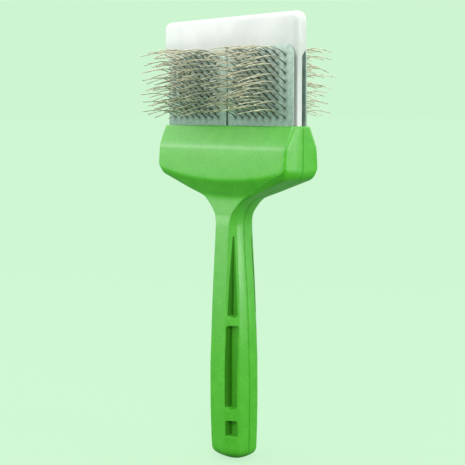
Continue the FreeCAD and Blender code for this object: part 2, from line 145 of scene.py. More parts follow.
def smooth_between(knots: Sequence[tuple[float, float]], at: float) -> float:
    """Read a smooth curve through knots, with no overshoot between them.

    Args:
        knots: Rising positions and their values.
        at: The position to read.

    Returns:
        The value there, by a cubic through the knots with limited slopes.
    """
    if at <= knots[0][0]:
        return knots[0][1]
    if at >= knots[-1][0]:
        return knots[-1][1]
    gaps = [(b[1] - a[1]) / (b[0] - a[0]) for a, b in zip(knots, knots[1:])]
    index = max(k for k in range(len(gaps)) if knots[k][0] <= at)

    def slope(k: int) -> float:
        """Slope of the curve at a knot.

        Args:
            k: The knot's number.

        Returns:
            Zero at a turn, else the gentler mean of the two sides.
        """
        if k in (0, len(gaps)):
            return gaps[min(k, len(gaps) - 1)]
        before, after = gaps[k - 1], gaps[k]
        return 0.0 if before * after <= 0 else 2 * before * after / (before + after)

    (x0, y0), (x1, y1) = knots[index], knots[index + 1]
    width = x1 - x0
    t = (at - x0) / width
    return ((2 * t ** 3 - 3 * t ** 2 + 1) * y0 + (t ** 3 - 2 * t ** 2 + t) * width * slope(index)
            + (3 * t ** 2 - 2 * t ** 3) * y1 + (t ** 3 - t ** 2) * width * slope(index + 1))


def deselect_all() -> None:
    """Leave no object selected, in object mode."""
    if bpy.context.mode != "OBJECT":
        bpy.ops.object.mode_set(mode="OBJECT")
    bpy.ops.object.select_all(action="DESELECT")


def select_only(piece: bpy.types.Object) -> None:
    """Select one object and make it the active one.

    Args:
        piece: The object.
    """
    deselect_all()
    piece.select_set(True)
    bpy.context.view_layer.objects.active = piece


@contextmanager
def editing(piece: bpy.types.Object) -> Iterator[None]:
    """Keep one object in edit mode for a block, which starts with nothing selected.

    Args:
        piece: The object to edit.

    Yields:
        Nothing. Object mode is back when the block ends.
    """
    select_only(piece)
    bpy.ops.object.mode_set(mode="EDIT")
    bpy.ops.mesh.select_all(action="DESELECT")
    yield
    bpy.ops.object.mode_set(mode="OBJECT")


def select_where(piece: bpy.types.Object, element: Element, test: Callable[..., bool]) -> None:
    """Select in edit mode the corners or edges that pass a test.

    Args:
        piece: The object in edit mode.
        element: Corners or edges.
        test: Whether to select one.
    """
    bpy.ops.mesh.select_mode(type=element.value)
    mesh = bmesh.from_edit_mesh(piece.data)
    for item in mesh.verts if element is Element.CORNER else mesh.edges:
        item.select = test(item)
    mesh.select_flush_mode()
    bmesh.update_edit_mesh(piece.data)


def runs_along(edge: bmesh.types.BMEdge, axis: int) -> bool:
    """Whether an edge is parallel to one axis of the frame."""
    step = edge.verts[1].co - edge.verts[0].co
    return step.length > 0 and abs(step[axis]) > 0.999 * step.length


def settle() -> bpy.types.Object:
    """Put the newest object's place into its mesh and return it."""
    bpy.ops.object.transform_apply(location=True, rotation=True, scale=True)
    return bpy.context.object


def add_box(name: str, low: Point, high: Point) -> bpy.types.Object:
    """Add a box between two corners given in millimetres.

    Args:
        name: The new object's name.
        low: The lowest corner.
        high: The highest corner.

    Returns:
        The box, with its place in its mesh.
    """
    deselect_all()
    middle = [(a + b) / 2 * MM for a, b in zip(low, high)]
    size = [(b - a) * MM for a, b in zip(low, high)]
    bpy.ops.mesh.primitive_cube_add(size=1, location=middle, scale=size)
    piece = settle()
    piece.name = name
    return piece


def add_rod(name: str, radius: float, length: float, height: float) -> bpy.types.Object:
    """Add a round rod that lies across the brush, with its sizes in millimetres.

    Args:
        name: The new object's name.
        radius: Its radius.
        length: Its length.
        height: Height of its axis.

    Returns:
        The rod, with its place in its mesh.
    """
    deselect_all()
    bpy.ops.mesh.primitive_cylinder_add(vertices=48, radius=radius * MM, depth=length * MM,
                                        location=(0, 0, height * MM), rotation=(0, math.pi / 2, 0))
    piece = settle()
    piece.name = name
    return piece


def round_edges(piece: bpy.types.Object, radius: float, segments: int,
                test: Callable[[bmesh.types.BMEdge], bool]) -> None:
    """Round chosen edges of a mesh.

    Args:
        piece: The object.
        radius: The rounding in millimetres.
        segments: How many strips make the rounding.
        test: Whether to round an edge.
    """
    with editing(piece):
        select_where(piece, Element.EDGE, test)
        bpy.ops.mesh.bevel(offset=radius * MM, segments=segments, affect="EDGES")


def apply_modifier(piece: bpy.types.Object, kind: str, **settings: object) -> None:
    """Add a modifier with its settings and apply it.

    Args:
        piece: The object.
        kind: The modifier's type.
        **settings: The modifier's properties.
    """
    select_only(piece)
    modifier = piece.modifiers.new(kind.title(), kind)
    for key, value in settings.items():
        setattr(modifier, key, value)
    bpy.ops.object.modifier_apply(modifier=modifier.name)


def join_solids(piece: bpy.types.Object, tool: bpy.types.Object, join: Join) -> None:
    """Add a solid to a piece or cut it out of the piece, and remove the solid."""
    apply_modifier(piece, "BOOLEAN", operation=join.value, solver="EXACT", object=tool)
    bpy.data.objects.remove(tool)


def clean_up(piece: bpy.types.Object, smooth_angle: float) -> None:
    """Merge doubles, turn faces outwards and shade smooth.

    Args:
        piece: The finished mesh.
        smooth_angle: The sharpest turn between faces, in degrees, that is still shaded smooth.
    """
    least_gap = 0.004
    with editing(piece):
        bpy.ops.mesh.select_all(action="SELECT")
        bpy.ops.mesh.remove_doubles(threshold=least_gap * MM)
        bpy.ops.mesh.normals_make_consistent(inside=False)
    select_only(piece)
    bpy.ops.object.shade_smooth_by_angle(angle=math.radians(smooth_angle))


def hand_over(piece: bpy.types.Object, body: str, node: str,
              material: bpy.types.Material) -> None:
    """Dress a finished piece and put it in the place of its CAD node.

    Args:
        piece: The finished piece.
        body: The CAD body that it rides on.
        node: The CAD node that it stands for.
        material: Its finish.
    """
    piece.data.materials.clear()
    piece.data.materials.append(material)
    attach(piece, body)
    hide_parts(node)
    LOG.info("%s: %d faces, for %s", piece.name, len(piece.data.polygons), node)


# ---------------------------------------------------------------------------------------------------------
# Finishes
# ---------------------------------------------------------------------------------------------------------
def add_node(tree: bpy.types.NodeTree, kind: str, settings: dict | None = None,
             links: dict | None = None) -> bpy.types.ShaderNode:
    """Add a shader node with its settings and its links.

    Args:
        tree: The material's node tree.
        kind: The node's type.
        settings: Socket values by socket name or number, and node properties by name.
        links: Output sockets to link, by input socket name or number.

    Returns:
        The new node.
    """
    node = tree.nodes.new(kind)
    for key, value in (settings or {}).items():
        if isinstance(key, int) or key in node.inputs:
            node.inputs[key].default_value = value
        else:
            setattr(node, key, value)
    for key, output in (links or {}).items():
        tree.links.new(output, node.inputs[key])
    return node


def new_material(name: str, values: dict | None = None) -> tuple[
        bpy.types.Material, bpy.types.NodeTree, bpy.types.ShaderNode, bpy.types.NodeSocket]:
    """Start a material.

    Args:
        name: The material's name.
        values: Values of the shader's own sockets, the same all over the surface.

    Returns:
        The material, its tree, its Principled shader and its Object coordinates.
    """
    material = bpy.data.materials.new(name)
    material.use_nodes = True
    tree = material.node_tree
    shader = tree.nodes["Principled BSDF"]
    for key, value in (values or {}).items():
        shader.inputs[key].default_value = value
    place = add_node(tree, "ShaderNodeTexCoord").outputs["Object"]
    return material, tree, shader, place


def set_ramp(node: bpy.types.ShaderNode, stops: Sequence[tuple[float, str]]) -> None:
    """Give a colour ramp its stops.

    Args:
        node: The ramp's node.
        stops: Position and hex colour of each stop.
    """
    ramp = node.color_ramp
    while len(ramp.elements) < len(stops):
        ramp.elements.new(1.0)
    for element, (position, colour) in zip(ramp.elements, stops):
        element.position = position
        element.color = linear(colour)


def set_curve(node: bpy.types.ShaderNode, points: Sequence[tuple[float, float]]) -> None:
    """Give a curve its points.

    Args:
        node: The curve's node.
        points: Position and value of each point, from the left end to the right end.
    """
    curve = node.mapping.curves[0]
    curve.points[0].location = points[0]
    curve.points[1].location = points[-1]
    for position, value in points[1:-1]:
        curve.points.new(position, value)
    node.mapping.update()


def part_by_ray(tree: bpy.types.NodeTree, output: str, bounced: bpy.types.NodeSocket,
                seen: bpy.types.NodeSocket) -> None:
    """Show one shader where it is seen directly and let another light the scene.

    Args:
        tree: The node tree.
        output: Name of its output node.
        bounced: The shader that lights the scene.
        seen: The shader that is seen.
    """
    ray = add_node(tree, "ShaderNodeLightPath")
    both = add_node(tree, "ShaderNodeMixShader",
                    links={0: ray.outputs["Is Camera Ray"], 1: bounced, 2: seen})
    tree.links.new(both.outputs[0], tree.nodes[output].inputs["Surface"])


@dataclass(frozen=True)
class MouldedPlastic:
    """Opaque ABS, injection moulded in a spark-eroded tool.

    The tool leaves a fine even grain, so the surface is satin: broad soft highlights that break up into tiny
    sparkles. The real grain is about 0.2 mm and is drawn at 0.6 mm, because a finer one wouldn't show.
    gloss is how strongly it reflects at heights in millimetres, and side_gloss is the same beyond
    side_reach, in millimetres from the middle. Both are matched to how the object looks. Inside the grip
    pockets the colour is darkened with painted shade, most on the inner walls, and the gloss is lower.
    """

    name: str = "abs_spark_grain_green"
    low: str = "40a31e"
    middle: str = "49ac25"
    high: str = "58b932"
    ior: float = 1.53
    roughness: float = 0.42
    gloss: tuple[tuple[float, float], ...] = (
        (0.0, 0.35), (50.0, 0.38), (70.0, 0.6), (85.0, 0.7), (118.0, 0.68), (127.0, 0.35), (134.0, 0.17),
        (148.7, 0.17), (150.2, 0.6), (153.0, 0.45), (160.0, 0.6))
    side_gloss: float = 0.5
    side_reach: tuple[float, float] = (46.3, 46.8)
    skin_gloss: float = 0.22
    skin_roughness: float = 0.2
    # Share of the colour left where the painted pocket shade is full.
    darkest_pocket_shade: float = 0.42
    sunk_gloss: float = 0.1
    grain_mm: float = 0.6
    mottle_mm: float = 6.0
    grain_depth: float = 0.035

    def make(self) -> bpy.types.Material:
        """Build the material.

        Returns:
            The material.
        """
        material, tree, shader, place = new_material(
            self.name, {"IOR": self.ior, "Coat Roughness": self.skin_roughness})
        grain = add_node(tree, "ShaderNodeTexNoise",
                         {"Scale": 1 / (self.grain_mm * MM), "Detail": 3.0, "Roughness": 0.6},
                         {"Vector": place})
        mottle = add_node(tree, "ShaderNodeTexNoise",
                          {"Scale": 1 / (self.mottle_mm * MM), "Detail": 2.0}, {"Vector": place})
        mix = add_node(tree, "ShaderNodeMath", {"operation": "MULTIPLY_ADD", 1: 0.75},
                       {0: grain.outputs["Fac"], 2: add_node(
                           tree, "ShaderNodeMath", {"operation": "MULTIPLY", 1: 0.25},
                           {0: mottle.outputs["Fac"]}).outputs[0]})
        ramp = add_node(tree, "ShaderNodeValToRGB", links={"Fac": mix.outputs[0]})
        set_ramp(ramp, [(0.36, self.low), (0.5, self.middle), (0.66, self.high)])
        # Painted shade inside the grip pockets: the mark darkens the colour, most on the inner walls.
        sunk = add_node(tree, "ShaderNodeAttribute", {"attribute_name": "sunk"})
        shade = add_node(tree, "ShaderNodeMapRange", {"To Min": 1.0, "To Max": self.darkest_pocket_shade},
                         {"Value": sunk.outputs["Fac"]})
        tinted = add_node(tree, "ShaderNodeVectorMath", {"operation": "SCALE"},
                          {0: ramp.outputs["Color"], "Scale": shade.outputs["Result"]})
        tree.links.new(tinted.outputs["Vector"], shader.inputs["Base Color"])
        rough = add_node(tree, "ShaderNodeMapRange",
                         {"From Min": 0.3, "From Max": 0.7, "To Min": self.roughness - 0.06,
                          "To Max": self.roughness + 0.08}, {"Value": grain.outputs["Fac"]})
        tree.links.new(rough.outputs["Result"], shader.inputs["Roughness"])
        bump = add_node(tree, "ShaderNodeBump", {"Strength": 0.6, "Distance": self.grain_depth * MM},
                        {"Height": grain.outputs["Fac"]})
        tree.links.new(bump.outputs["Normal"], shader.inputs["Normal"])
        self.polish(tree, shader, place, sunk.outputs["Fac"])
        return material

    def polish(self, tree: bpy.types.NodeTree, shader: bpy.types.Node, place: bpy.types.NodeSocket,
               sunk: bpy.types.NodeSocket) -> None:
        """Set how strongly the surface reflects: by height and side, and least inside the pockets.

        Args:
            tree: The material's node tree.
            shader: Its Principled shader.
            place: Its Object coordinates.
            sunk: How much painted shade a face has inside a pocket. It also lowers the gloss there.
        """
        tallest = self.gloss[-1][0]
        height = add_node(tree, "ShaderNodeSeparateXYZ", links={0: place})
        share = add_node(tree, "ShaderNodeMath", {"operation": "DIVIDE", 1: tallest * MM},
                         {0: height.outputs["Z"]})
        worn = add_node(tree, "ShaderNodeFloatCurve", links={"Value": share.outputs[0]})
        set_curve(worn, [(level / tallest, strength) for level, strength in self.gloss])
        hidden = add_node(tree, "ShaderNodeMapRange", {"To Min": 1.0, "To Max": self.sunk_gloss},
                          {"Value": sunk})
        across = add_node(tree, "ShaderNodeMath", {"operation": "ABSOLUTE"}, {0: height.outputs["X"]})
        beside = add_node(tree, "ShaderNodeMapRange",
                          {"From Min": self.side_reach[0] * MM, "From Max": self.side_reach[1] * MM},
                          {"Value": across.outputs[0]})
        both = add_node(tree, "ShaderNodeMix", {3: self.side_gloss},
                        {0: beside.outputs["Result"], 2: worn.outputs["Value"]})
        base = add_node(tree, "ShaderNodeMath", {"operation": "MULTIPLY"},
                        {0: both.outputs[0], 1: hidden.outputs["Result"]})
        tree.links.new(base.outputs[0], shader.inputs["Specular IOR Level"])
        coat = add_node(tree, "ShaderNodeMath", {"operation": "MULTIPLY", 0: self.skin_gloss},
                        {1: hidden.outputs["Result"]})
        tree.links.new(coat.outputs[0], shader.inputs["Coat Weight"])


@dataclass(frozen=True)
class MilkyPlastic:
    """Natural thermoplastic elastomer, moulded without pigment.

    Light enters it and scatters, so it looks milky white with soft shading and a low satin gloss.
    """

    name: str = "natural_elastomer_milky"
    low: str = "cfd1d0"
    high: str = "dadcdb"
    ior: float = 1.49
    roughness: float = 0.38
    milkiness: float = 0.35
    cloud_mm: float = 14.0
    skin_mm: float = 0.8
    scatter_mm: float = 2.5

    def make(self) -> bpy.types.Material:
        """Build the material.

        Returns:
            The material.
        """
        material, tree, shader, place = new_material(
            self.name, {"Roughness": self.roughness, "IOR": self.ior, "Subsurface Weight": self.milkiness,
                        "Subsurface Radius": (1.0, 1.0, 1.0), "Subsurface Scale": self.scatter_mm * MM})
        cloud = add_node(tree, "ShaderNodeTexNoise",
                         {"Scale": 1 / (self.cloud_mm * MM), "Detail": 3.0}, {"Vector": place})
        ramp = add_node(tree, "ShaderNodeValToRGB", links={"Fac": cloud.outputs["Fac"]})
        set_ramp(ramp, [(0.35, self.low), (0.65, self.high)])
        tree.links.new(ramp.outputs["Color"], shader.inputs["Base Color"])
        skin = add_node(tree, "ShaderNodeTexNoise",
                        {"Scale": 1 / (self.skin_mm * MM), "Detail": 2.0}, {"Vector": place})
        bump = add_node(tree, "ShaderNodeBump", {"Strength": 0.15, "Distance": 0.02 * MM},
                        {"Height": skin.outputs["Fac"]})
        tree.links.new(bump.outputs["Normal"], shader.inputs["Normal"])
        return material


@dataclass(frozen=True)
class RubberCloth:
    """Card cloth: layers of woven cotton faced with grey-blue rubber, pierced by the wires.

    The rubber face is matt and mottled, and the weave shows through as a faint grid. Round each wire, where
    it is drawn in, it is darkened with painted shadow. The weave is about 0.5 mm and is drawn at 0.9 mm, so
    that it shows.
    Between shaded_from and the next height, in millimetres, it turns from painted shade, deeper and greener
    low down among the wires by the green head, to its own colour.
    """

    name: str = "card_cloth_blue_grey"
    low: str = "9fb5ab"
    middle: str = "b8cbc2"
    high: str = "d0dfd8"
    # Painted shade low on the pad, greener from light bounced off the head.
    shaded: str = "a4c0b3"
    # Colour of the painted shadow round each wire's hole.
    wire_hole_shadow: str = "5a6861"
    shaded_from: float = 157.0
    unshaded_from: float = 194.0
    ior: float = 1.52
    roughness: float = 0.72
    mottle_mm: float = 2.2
    weave_mm: float = 0.9

    def make(self) -> bpy.types.Material:
        """Build the material.

        Returns:
            The material.
        """
        material, tree, shader, place = new_material(
            self.name, {"Roughness": self.roughness, "IOR": self.ior})
        mottle = add_node(tree, "ShaderNodeTexNoise",
                          {"Scale": 1 / (self.mottle_mm * MM), "Detail": 4.0, "Roughness": 0.65},
                          {"Vector": place})
        ramp = add_node(tree, "ShaderNodeValToRGB", links={"Fac": mottle.outputs["Fac"]})
        set_ramp(ramp, [(0.33, self.low), (0.5, self.middle), (0.68, self.high)])
        split = add_node(tree, "ShaderNodeSeparateXYZ", links={0: place})
        # Painted shade: darker low down, among the wires by the head, up to its own colour at the top.
        height_up = add_node(tree, "ShaderNodeMapRange",
                             {"From Min": self.shaded_from * MM, "From Max": self.unshaded_from * MM},
                             {"Value": split.outputs["Z"]})
        base = add_node(tree, "ShaderNodeMix", {"data_type": "RGBA", "blend_type": "MULTIPLY", 0: 0.8},
                        {6: ramp.outputs["Color"]})
        height_shade = add_node(tree, "ShaderNodeValToRGB", links={"Fac": height_up.outputs["Result"]})
        set_ramp(height_shade, [(0.0, self.shaded), (1.0, "ffffff")])
        tree.links.new(height_shade.outputs["Color"], base.inputs[7])
        # Painted shadow round each wire's hole.
        drawn_in = add_node(tree, "ShaderNodeAttribute", {"attribute_name": "drawn_in"})
        colour = add_node(tree, "ShaderNodeMix", {"data_type": "RGBA", "blend_type": "MIX"},
                          {0: drawn_in.outputs["Fac"], 6: base.outputs[2]})
        colour.inputs[7].default_value = linear(self.wire_hole_shadow)
        tree.links.new(colour.outputs[2], shader.inputs["Base Color"])
        turn = math.pi / (self.weave_mm * MM)
        weave = [add_node(tree, "ShaderNodeMath", {"operation": "SINE"}, {0: add_node(
            tree, "ShaderNodeMath", {"operation": "MULTIPLY", 1: turn},
            {0: split.outputs[axis]}).outputs[0]})
            for axis in ("X", "Z")]
        product = add_node(tree, "ShaderNodeMath", {"operation": "MULTIPLY"},
                           {0: weave[0].outputs[0], 1: weave[1].outputs[0]})
        height = add_node(tree, "ShaderNodeMath", {"operation": "MULTIPLY_ADD", 1: 0.25},
                          {0: product.outputs[0], 2: mottle.outputs["Fac"]})
        bump = add_node(tree, "ShaderNodeBump", {"Strength": 0.6, "Distance": 0.08 * MM},
                        {"Height": height.outputs[0]})
        tree.links.new(bump.outputs["Normal"], shader.inputs["Normal"])
        return material


@dataclass(frozen=True)
class StapleWire:
    """Drawn and tinned carbon-steel wire, used and slightly tarnished.

    Along its length it shifts between warm tan and grey, and painted shade darkens it towards its root,
    which lies in shade. The tarnish dulls it, so it is drawn as half metal.
    """

    name: str = "drawn_steel_wire_tarnished"
    low: str = "a8a68a"
    middle: str = "cfcaaf"
    high: str = "e6e1cb"
    # Colour of the painted shade at the wire's root.
    root: str = "3c4733"
    metallic: float = 0.5
    roughness: float = 0.3
    streak_mm: float = 3.0

    def make(self) -> bpy.types.Material:
        """Build the material.

        Returns:
            The material.
        """
        material, tree, shader, place = new_material(
            self.name, {"Metallic": self.metallic, "Roughness": self.roughness})
        streak = add_node(tree, "ShaderNodeTexNoise",
                          {"Scale": 1 / (self.streak_mm * MM), "Detail": 3.0}, {"Vector": place})
        ramp = add_node(tree, "ShaderNodeValToRGB", links={"Fac": streak.outputs["Fac"]})
        set_ramp(ramp, [(0.32, self.low), (0.5, self.middle), (0.66, self.high)])
        # Painted shade: the wire darkens towards its root, which lies in shade.
        along = add_node(tree, "ShaderNodeAttribute", {"attribute_name": "along"})
        out_of_root_shade = add_node(tree, "ShaderNodeMapRange", {"From Min": 0.1, "From Max": 0.5},
                         {"Value": along.outputs["Fac"]})
        colour = add_node(tree, "ShaderNodeMix", {"data_type": "RGBA", "blend_type": "MIX"},
                          {0: out_of_root_shade.outputs["Result"], 7: ramp.outputs["Color"]})
        colour.inputs[6].default_value = linear(self.root)
        tree.links.new(colour.outputs[2], shader.inputs["Base Color"])
        return material


@dataclass(frozen=True)
class SpringPlastic:
    """Thin rolled polyester sheet: smooth and glossy, in a faintly clouded grey."""

    name: str = "rolled_polyester_grey"
    low: str = "6f8577"
    high: str = "98ad9f"
    ior: float = 1.57
    roughness: float = 0.3
    cloud_mm: float = 9.0

    def make(self) -> bpy.types.Material:
        """Build the material.

        Returns:
            The material.
        """
        material, tree, shader, place = new_material(
            self.name, {"Roughness": self.roughness, "IOR": self.ior})
        cloud = add_node(tree, "ShaderNodeTexNoise", {"Scale": 1 / (self.cloud_mm * MM)}, {"Vector": place})
        ramp = add_node(tree, "ShaderNodeValToRGB", links={"Fac": cloud.outputs["Fac"]})
        set_ramp(ramp, [(0.35, self.low), (0.65, self.high)])
        tree.links.new(ramp.outputs["Color"], shader.inputs["Base Color"])
        return material


# ---------------------------------------------------------------------------------------------------------
# Shells
# ---------------------------------------------------------------------------------------------------------
@dataclass(frozen=True)
class Section:
    """One level section of a shell's handle, in millimetres.

    The half section runs from the parting plane along a side facet, a slanting facet and the face.
    """

    height: float
    side: float
    side_flat: float
    face_half: float
    face_depth: float


@dataclass(frozen=True)
class Pocket:
    """One grip pocket: the heights of its ends and the rounding of its lower end, in millimetres."""

    low: float
    high: float
    rounding: float


@dataclass
class Shell:
    """One half of the moulded handle and head, closed on the parting plane Y = 0."""

    face: Face
    handle: tuple[Section, ...] = (
        Section(3.5, 11.1, 5.1, 5.1, 9.5), Section(10.0, 11.25, 5.25, 5.15, 9.9),
        Section(18.0, 11.4, 5.4, 5.2, 10.2), Section(32.0, 11.5, 5.5, 5.2, 10.5),
        Section(44.0, 11.35, 5.45, 5.2, 10.5), Section(58.7, 10.9, 5.2, 5.15, 10.0),
        Section(73.0, 10.2, 4.95, 5.1, 9.45), Section(84.6, 9.45, 4.6, 5.05, 8.9),
        Section(99.0, 8.2, 4.3, 4.95, 8.1), Section(107.0, 7.6, 4.1, 4.9, 7.65),
        Section(112.5, 7.4, 4.05, 4.9, 7.35), Section(117.5, 8.26, 4.4, 5.9, 6.85))
    head_side_flat: tuple[tuple[float, float], ...] = (
        (122.5, 5.0), (126.4, 5.7), (130.0, 7.2), (134.0, 8.0), (137.5, 8.9), (141.0, 9.3), (150.5, 8.5),
        (159.9, 3.6))
    head_face_half: tuple[tuple[float, float], ...] = (
        (122.5, 9.9), (126.4, 15.0), (130.0, 22.6), (134.0, 31.2), (137.1, 39.3), (139.6, 45.0),
        (141.5, 45.9), (150.5, 46.0), (159.9, 45.6))
    neck_half: float = 7.4
    neck_radius: float = 15.0
    neck_slope: float = 0.05
    neck_blend: float = 0.5
    head_half: float = 47.3
    head_radius: float = 5.6
    underside_inner: float = 123.3
    underside_outer: float = 136.8
    ridge_height: float = 150.5
    ridge_depth: float = 9.6
    ridge_blend: float = 0.28
    main_slope: float = 0.084
    upper_slope: float = 0.404
    lower_slope: float = 0.6
    fold_height: float = 134.3
    fold_rise: float = 1.9
    fold_reach: float = 30.0
    fold_blend: float = 0.4
    mouth_top: float = 159.9
    mouth_floor: float = 152.0
    mouth_half: float = 45.5
    mouth_depth: float = 5.0
    mouth_corner: float = 0.8
    mouth_rim: float = 0.7
    channel_radius: float = 5.68
    channel_length: float = 91.2
    channel_height: float = 154.2
    cut_top: float = 162.0
    end_rise: float = 6.5
    end_power: float = 3.2
    end_oval: float = 0.7
    end_face_share: float = 0.45
    end_side_share: float = 0.5
    facet_rounding: float = 0.5
    facet_share: float = 0.42
    least_facet: float = 0.35
    face_steps: int = 14
    draft: float = 0.1
    seam: float = 0.42
    edge_break: float = 0.25
    sharp_angle: float = 38.0
    plain_pockets: tuple[Pocket, ...] = (Pocket(12.6, 20.2, 0.35), Pocket(25.6, 65.8, 2.2))
    pocket_inner: float = 5.35
    pocket_outer: float = 9.85
    pocket_floor: float = 5.9
    pocket_fall: float = 1.0
    pocket_top_rounding: float = 0.8
    pointed_pocket: Pocket = Pocket(69.6, 108.0, 1.8)
    pointed_inner: float = 5.7
    pointed_outer: float = 9.35
    pointed_floor: float = 5.2
    pointed_fall: float = 0.8
    point_narrowing: float = 3.2
    point_shift: float = 0.3
    cutter_reach: float = 20.0

    @property
    def name(self) -> str:
        """The CAD node that the shell stands for."""
        return "front_shell" if self.face is Face.FRONT else "rear_shell"

    def side_at(self, z: float) -> float:
        """Half width at the parting plane: handle, neck fillet, sloping underside, corner and head.

        Args:
            z: The height.

        Returns:
            The half width.
        """
        slope = (self.underside_outer - self.underside_inner) / (self.head_half - self.neck_half)
        tilt = math.atan(slope)
        reach = math.tan((math.pi / 2 - tilt) / 2)
        fillet_low = self.underside_inner - self.neck_radius * reach
        fillet_high = self.underside_inner + self.neck_radius * reach * math.sin(tilt)
        corner_low = self.underside_outer - self.head_radius * reach * math.sin(tilt)
        corner_high = self.underside_outer + self.head_radius * reach
        if z <= fillet_low:
            return smooth_between([(s.height, s.side) for s in self.handle[:-1]], z)
        if z <= fillet_high:
            return (self.neck_half + self.neck_radius
                    - math.sqrt(self.neck_radius ** 2 - (z - fillet_low) ** 2))
        if z <= corner_low:
            return self.neck_half + (z - self.underside_inner) / slope
        if z <= corner_high:
            return (self.head_half - self.head_radius
                    + math.sqrt(self.head_radius ** 2 - (corner_high - z) ** 2))
        return self.head_half

    def side_flat_at(self, z: float) -> float:
        """Half depth of the side facet, from the handle up to the mouth."""
        return self.up_the_shell([(s.height, s.side_flat) for s in self.handle], self.head_side_flat, 2, z)

    def face_half_at(self, z: float) -> float:
        """Half width of the face, from the handle up to the mouth."""
        return self.up_the_shell([(s.height, s.face_half) for s in self.handle], self.head_face_half, 1, z)

    @staticmethod
    def up_the_shell(handle: list[tuple[float, float]], head: Sequence[tuple[float, float]],
                     straight: int, z: float) -> float:
        """Read a size that changes smoothly up the handle and head, and in straight lines at the top.

        Args:
            handle: Heights and sizes up the handle.
            head: The same up the head.
            straight: How many of the head's last stretches are straight.
            z: The height to read.

        Returns:
            The size there.
        """
        last_smooth = len(head) - straight
        if z < head[last_smooth - 1][0]:
            return smooth_between(handle + list(head[:last_smooth]), z)
        return straight_between(head[last_smooth - 1:], z)

    def depth_at(self, x: float, z: float) -> float:
        """Distance of the face from the parting plane: handle, lower facet, main facet and upper facet.

        Args:
            x: Distance across from the middle. The fold above the lower facet rises outwards.
            z: The height.

        Returns:
            The depth.
        """
        handle = smooth_between([(s.height, s.face_depth) for s in self.handle], z)
        throat, neck = self.handle[-2:]
        if z < throat.height:
            return handle
        under = handle if z < neck.height else neck.face_depth - self.neck_slope * (z - neck.height)
        main = self.ridge_depth + self.main_slope * (self.ridge_height - z)
        upper = self.ridge_depth + self.upper_slope * (self.ridge_height - z)
        fold = self.fold_height + self.fold_rise * (x / self.fold_reach) ** 2
        lower = (self.ridge_depth + self.main_slope * (self.ridge_height - fold)
                 - self.lower_slope * (fold - z))
        facets = soft_min(soft_min(main, upper, self.ridge_blend), lower, self.fold_blend)
        return soft_max(facets, under, self.neck_blend)

    def end_inset(self, z: float) -> float:
        """How far the rounded end draws in at a height."""
        return self.end_rise * max(0.0, 1 - z / self.end_rise) ** self.end_power

    def mouth_inset(self, z: float) -> float:
        """How far the rounded rim of the mouth draws in at a height."""
        into_rim = max(0.0, z - (self.mouth_top - self.mouth_rim))
        return self.mouth_rim - math.sqrt(max(0.0, self.mouth_rim ** 2 - into_rim ** 2))

    def heights(self) -> list[float]:
        """Heights of the levels of the grid: close together where the surface turns.

        Returns:
            The heights from the end of the handle to the top of the mouth.
        """
        grip_step, grip_count, neck_step, neck_count = 2.5, 42, 0.5, 59
        end = [0.0, 0.15, 0.35, 0.6, 0.9, 1.3, 1.8, 2.4, 3.1, 3.9, 4.8, 5.8]
        grip = [self.end_rise + grip_step * k for k in range(grip_count)]
        neck = [self.handle[-2].height + neck_step * k for k in range(neck_count)]
        ridge = [142.5, 144.0, 146.0, 148.0, 149.2, 149.8, 150.2, 150.5, 150.8, 151.2, 151.8, 153.0, 155.0,
                 157.0, 158.6, 159.2, 159.45, 159.65, 159.8, 159.87, 159.9]
        return end + grip + neck + ridge

    def corner_points(self, before: Vector, corner: Vector, after: Vector) -> list[Vector]:
        """Round one corner of a section.

        Args:
            before: The corner before it.
            corner: The corner.
            after: The corner after it.

        Returns:
            Five points of a smooth curve in place of the corner.
        """
        back, on = before - corner, after - corner
        reach = min(self.facet_rounding, self.facet_share * back.length, self.facet_share * on.length)
        start, stop = corner + back.normalized() * reach, corner + on.normalized() * reach
        return [start.lerp(corner, t).lerp(corner.lerp(stop, t), t) for t in (0.0, 0.25, 0.5, 0.75, 1.0)]

    def half_section(self, z: float) -> list[Vector]:
        """Half of a level section, with the rounded end and rim drawn in.

        Args:
            z: The height.

        Returns:
            Points from the parting plane on the right to the middle of the face.
        """
        level = max(z, self.handle[0].height)
        inset = self.end_inset(z) + self.mouth_inset(z)
        full_side = self.side_at(level)
        face_half = min(self.face_half_at(level), full_side - self.least_facet)
        face_depth = self.depth_at(face_half, level) - inset
        side = full_side - inset
        side_flat = min(self.side_flat_at(level) - inset * self.end_side_share,
                        face_depth - self.least_facet)
        face_half -= inset * self.end_face_share
        parting = Vector((side, -self.seam))
        low_corner = Vector((side - self.draft * side_flat, -side_flat))
        high_corner = Vector((face_half, -face_depth))
        centre = Vector((0.0, -face_depth))
        points = [Vector((side - self.seam, 0.0)), parting, parting.lerp(low_corner, 0.4)]
        points += self.corner_points(parting, low_corner, high_corner)
        points += self.corner_points(low_corner, high_corner, centre)
        first = points[-1].x
        for k in range(1, self.face_steps + 1):
            x = first * (1 - k / self.face_steps)
            points.append(Vector((x, -(self.depth_at(x, level) - inset))))
        rounding = self.end_oval * max(0.0, 1 - z / self.end_rise) ** 2
        return [self.towards_oval(p, side, face_depth, rounding) for p in points]

    @staticmethod
    def towards_oval(point: Vector, half_width: float, depth: float, share: float) -> Vector:
        """Move a point of a section part of the way to an oval of the section's size.

        Args:
            point: The point.
            half_width: The oval's half width.
            depth: The oval's half depth.
            share: How much of the way, from 0 to 1.

        Returns:
            The moved point.
        """
        if share <= 0:
            return point
        direction = point.normalized()
        reach = 1 / math.hypot(direction.x / half_width, direction.y / depth)
        return point.lerp(direction * reach, share)

    def section(self, z: float) -> list[Vector]:
        """Points of a whole half shell's section, from the right of the parting plane to the left."""
        right = self.half_section(z)
        return right + [Vector((-p.x, p.y)) for p in reversed(right[:-1])]

